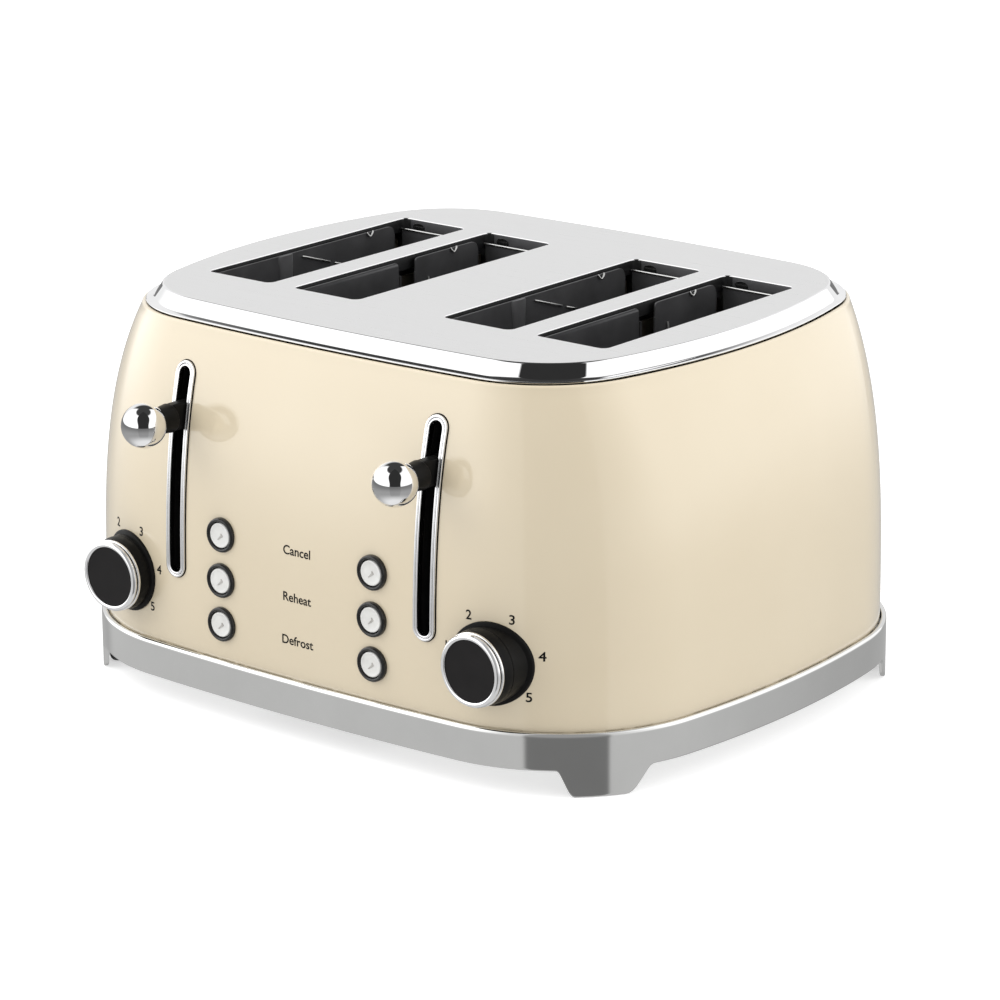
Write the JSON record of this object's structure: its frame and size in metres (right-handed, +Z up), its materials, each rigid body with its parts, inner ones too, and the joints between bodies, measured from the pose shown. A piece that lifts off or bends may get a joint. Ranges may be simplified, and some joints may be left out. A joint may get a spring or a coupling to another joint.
{
  "type": "pop-up toaster",
  "caption": "Pop-up toaster with wide bread slots in a steel top, curved enamelled body, ball levers, browning dials, push buttons and pull-out crumb trays.",
  "frame": {"origin": "on the table, under the middle of the object's bounding box", "axes": "+Z up; front with the levers towards -Y; +X to the right seen from the front"},
  "size_m": [0.3428, 0.3026, 0.184],
  "materials": {
    "cream_enamel": "gloss baked enamel",
    "base_grey": "satin metallic grey",
    "top_steel": "fine brushed, polished edge",
    "chrome": "mirror plated",
    "black_plastic": "fine matt moulded",
    "button_white": "semi-gloss",
    "rubber": "matt",
    "bare_steel": "bright zinc",
    "oven_steel": "heat-darkened",
    "mica": "layered mica sheet",
    "copper_wire": "enamelled winding",
    "circuit_board": "solder mask"
  },
  "bodies": {
    "chassis": {"base_ring": "base_grey", "base_plate": "base_grey", "body_shell": "cream_enamel", "top_plate": "top_steel", "cord_gland": "rubber", "foot_pad_front_left": "rubber", "foot_pad_rear_left": "rubber", "lever_bezel_left": "chrome", "button_bezel_left_1": "black_plastic", "button_bezel_left_2": "black_plastic", "button_bezel_left_3": "black_plastic", "knob_boss_left": "black_plastic", "control_board_left": "circuit_board", "electromagnet_left": "copper_wire", "oven_box_left": "oven_steel", "heating_card_left_inner": "mica", "heating_card_left_middle": "mica", "heating_card_left_outer": "mica", "guide_rod_left": "bare_steel", "lever_spring_left": "bare_steel", "foot_pad_front_right": "rubber", "foot_pad_rear_right": "rubber", "lever_bezel_right": "chrome", "button_bezel_right_1": "black_plastic", "button_bezel_right_2": "black_plastic", "button_bezel_right_3": "black_plastic", "knob_boss_right": "black_plastic", "control_board_right": "circuit_board", "electromagnet_right": "copper_wire", "oven_box_right": "oven_steel", "heating_card_right_inner": "mica", "heating_card_right_middle": "mica", "heating_card_right_outer": "mica", "guide_rod_right": "bare_steel", "lever_spring_right": "bare_steel"},
    "carriage_left": {"carriage_bracket_left": "bare_steel", "lever_neck_left": "black_plastic", "lever_ball_left": "chrome", "bread_rack_left_inner": "bare_steel", "bread_rack_left_outer": "bare_steel"},
    "guides_left_a": {"bread_guide_left_a": "oven_steel"},
    "guides_left_b": {"bread_guide_left_b": "oven_steel"},
    "knob_left": {"browning_knob_left": "black_plastic"},
    "tray_left": {"crumb_tray_left": "oven_steel"},
    "button_left_1": {"button_left_1": "button_white"},
    "button_left_2": {"button_left_2": "button_white"},
    "button_left_3": {"button_left_3": "button_white"},
    "carriage_right": {"carriage_bracket_right": "bare_steel", "lever_neck_right": "black_plastic", "lever_ball_right": "chrome", "bread_rack_right_inner": "bare_steel", "bread_rack_right_outer": "bare_steel"},
    "guides_right_a": {"bread_guide_right_a": "oven_steel"},
    "guides_right_b": {"bread_guide_right_b": "oven_steel"},
    "knob_right": {"browning_knob_right": "black_plastic"},
    "tray_right": {"crumb_tray_right": "oven_steel"},
    "button_right_1": {"button_right_1": "button_white"},
    "button_right_2": {"button_right_2": "button_white"},
    "button_right_3": {"button_right_3": "button_white"}
  },
  "joints": [
    {"name": "lever_left", "type": "slide", "parent": "chassis", "child": "carriage_left", "axis": [0, 0, 1], "range_m": [-0.062, 0.013], "stiffness_N_per_m": 250, "springref_m": 0.0048, "deforming": ["lever_spring_left"]},
    {"name": "guide_left_a", "type": "slide", "parent": "chassis", "child": "guides_left_a", "axis": [1, 0, 0], "range_m": [-0.0013, 0.0051]},
    {"name": "guide_left_b", "type": "slide", "parent": "chassis", "child": "guides_left_b", "axis": [1, 0, 0], "range_m": [-0.0051, 0.0013]},
    {"name": "knob_left", "type": "hinge", "parent": "chassis", "child": "knob_left", "pos_m": [-0.1064, -0.12832, 0.0578], "axis": [0, 1, 0], "range_deg": [-135, 135]},
    {"name": "crumb_tray_left", "type": "slide", "parent": "chassis", "child": "tray_left", "axis": [0, 1, 0], "range_m": [0, 0.16]},
    {"name": "button_left_1", "type": "slide", "parent": "chassis", "child": "button_left_1", "axis": [0, 1, 0], "range_m": [0, 0.0022], "stiffness_N_per_m": 300, "springref_m": -0.003},
    {"name": "button_left_2", "type": "slide", "parent": "chassis", "child": "button_left_2", "axis": [0, 1, 0], "range_m": [0, 0.0022], "stiffness_N_per_m": 300, "springref_m": -0.003},
    {"name": "button_left_3", "type": "slide", "parent": "chassis", "child": "button_left_3", "axis": [0, 1, 0], "range_m": [0, 0.0022], "stiffness_N_per_m": 300, "springref_m": -0.003},
    {"name": "lever_right", "type": "slide", "parent": "chassis", "child": "carriage_right", "axis": [0, 0, 1], "range_m": [-0.062, 0.013], "stiffness_N_per_m": 250, "springref_m": 0.0048, "deforming": ["lever_spring_right"]},
    {"name": "guide_right_a", "type": "slide", "parent": "chassis", "child": "guides_right_a", "axis": [1, 0, 0], "range_m": [-0.0013, 0.0051]},
    {"name": "guide_right_b", "type": "slide", "parent": "chassis", "child": "guides_right_b", "axis": [1, 0, 0], "range_m": [-0.0051, 0.0013]},
    {"name": "knob_right", "type": "hinge", "parent": "chassis", "child": "knob_right", "pos_m": [0.1064, -0.12832, 0.0578], "axis": [0, 1, 0], "range_deg": [-135, 135]},
    {"name": "crumb_tray_right", "type": "slide", "parent": "chassis", "child": "tray_right", "axis": [0, 1, 0], "range_m": [0, 0.16]},
    {"name": "button_right_1", "type": "slide", "parent": "chassis", "child": "button_right_1", "axis": [0, 1, 0], "range_m": [0, 0.0022], "stiffness_N_per_m": 300, "springref_m": -0.003},
    {"name": "button_right_2", "type": "slide", "parent": "chassis", "child": "button_right_2", "axis": [0, 1, 0], "range_m": [0, 0.0022], "stiffness_N_per_m": 300, "springref_m": -0.003},
    {"name": "button_right_3", "type": "slide", "parent": "chassis", "child": "button_right_3", "axis": [0, 1, 0], "range_m": [0, 0.0022], "stiffness_N_per_m": 300, "springref_m": -0.003}
  ],
  "couplings": [
    {"joint": "guide_left_a", "follows": "lever_left", "ratio": -0.08},
    {"joint": "guide_left_b", "follows": "lever_left", "ratio": 0.08},
    {"joint": "guide_right_a", "follows": "lever_right", "ratio": -0.08},
    {"joint": "guide_right_b", "follows": "lever_right", "ratio": 0.08}
  ]
}
